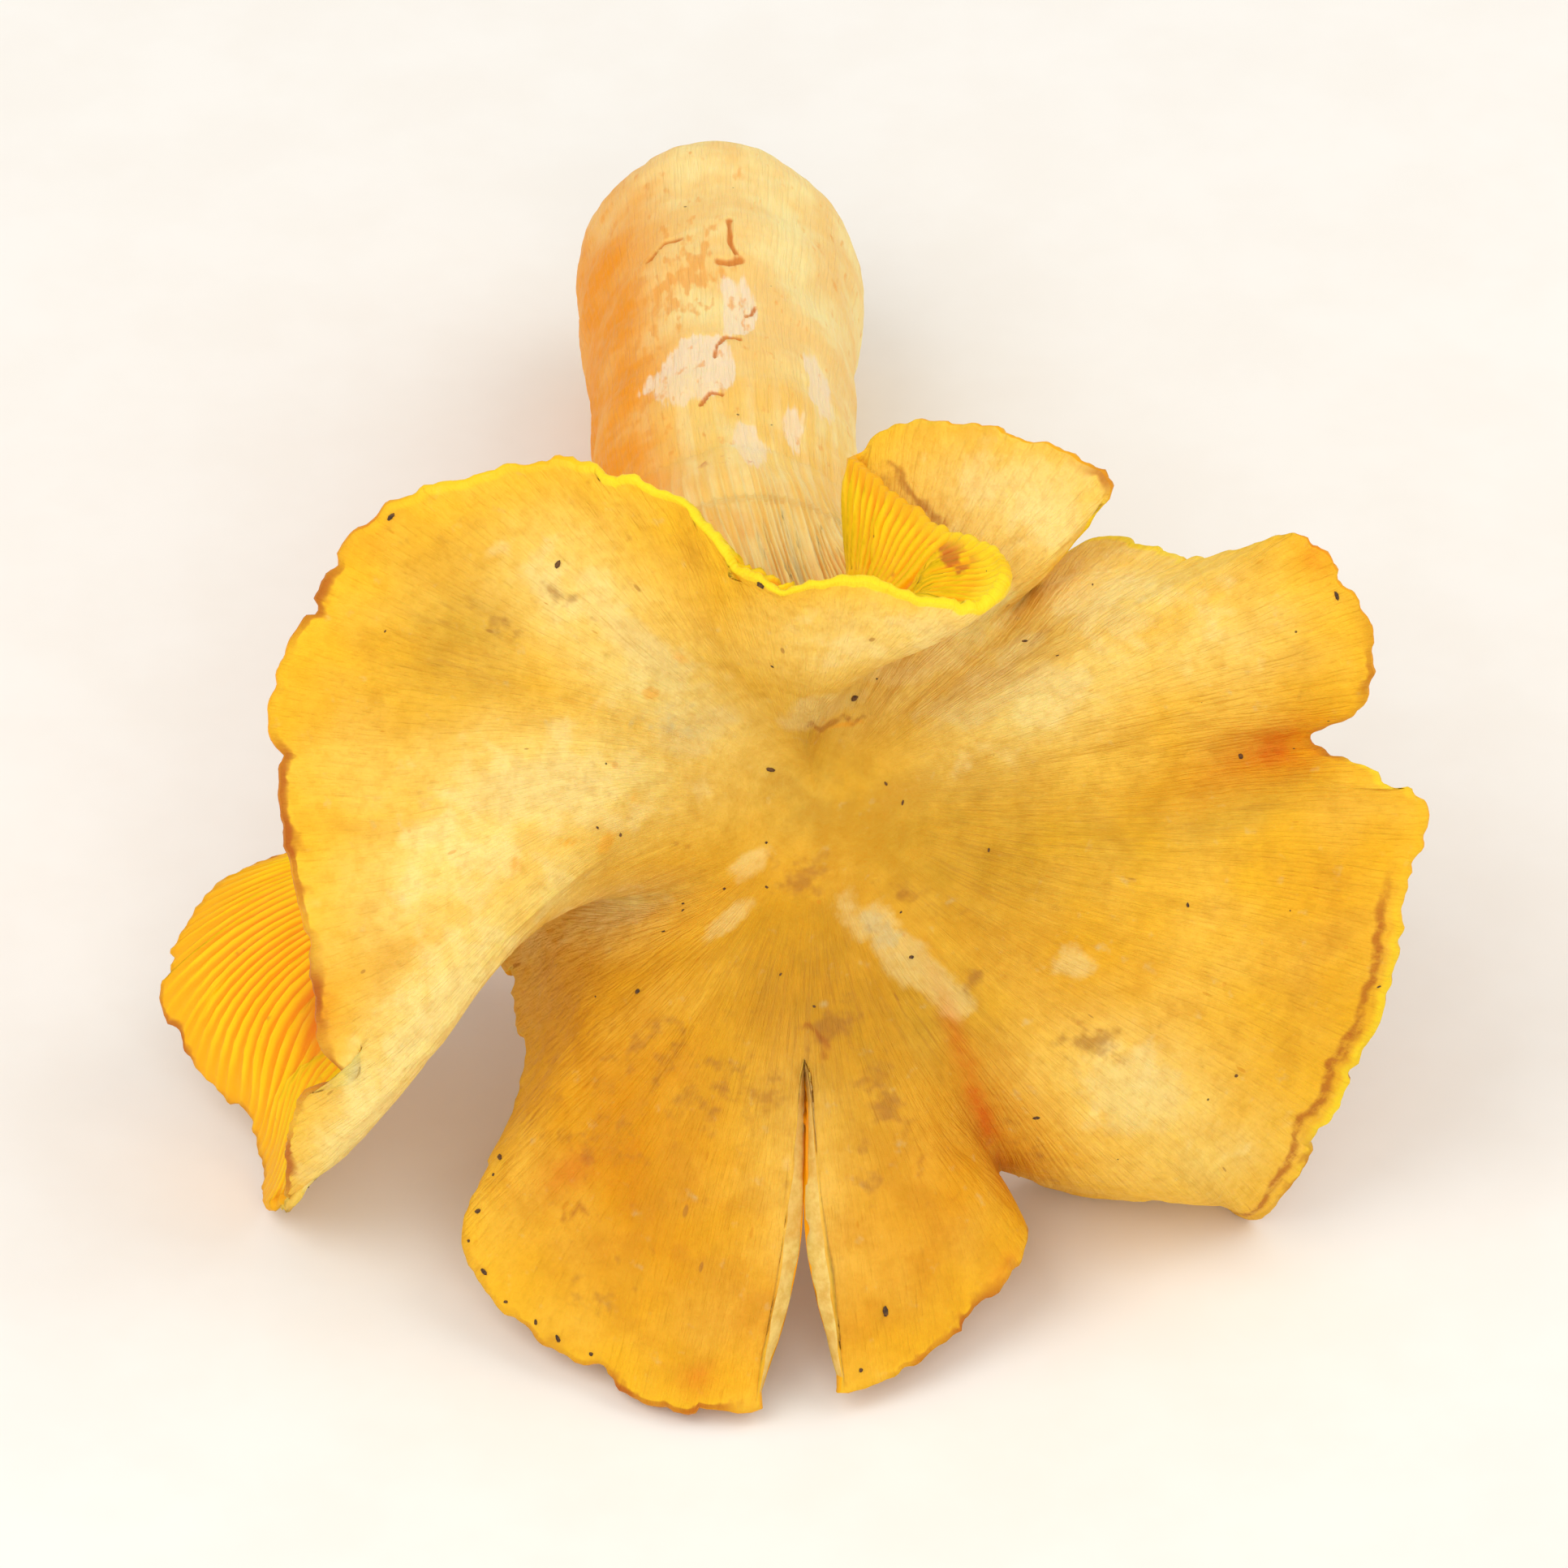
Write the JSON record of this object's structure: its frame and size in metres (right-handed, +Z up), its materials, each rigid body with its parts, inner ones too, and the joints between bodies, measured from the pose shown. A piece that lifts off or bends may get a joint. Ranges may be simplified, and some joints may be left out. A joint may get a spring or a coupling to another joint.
{
  "type": "chanterelle mushroom",
  "caption": "Picked chanterelle lying on its side: wavy, split funnel cap with folded lobes, blunt gills running down a stout stem.",
  "frame": {"origin": "centre of the bounding box, on the surface that the mushroom lies on", "axes": "+Z up from the surface, +Y from the cap towards the end of the stem, the cap's face looks towards -Y and up"},
  "size_m": [0.0722, 0.1002, 0.0451],
  "materials": {
    "flesh": "soft matte skin, egg-yolk yellow with paler apricot patches"
  },
  "bodies": {
    "root": {"chanterelle": "flesh"}
  },
  "joints": []
}
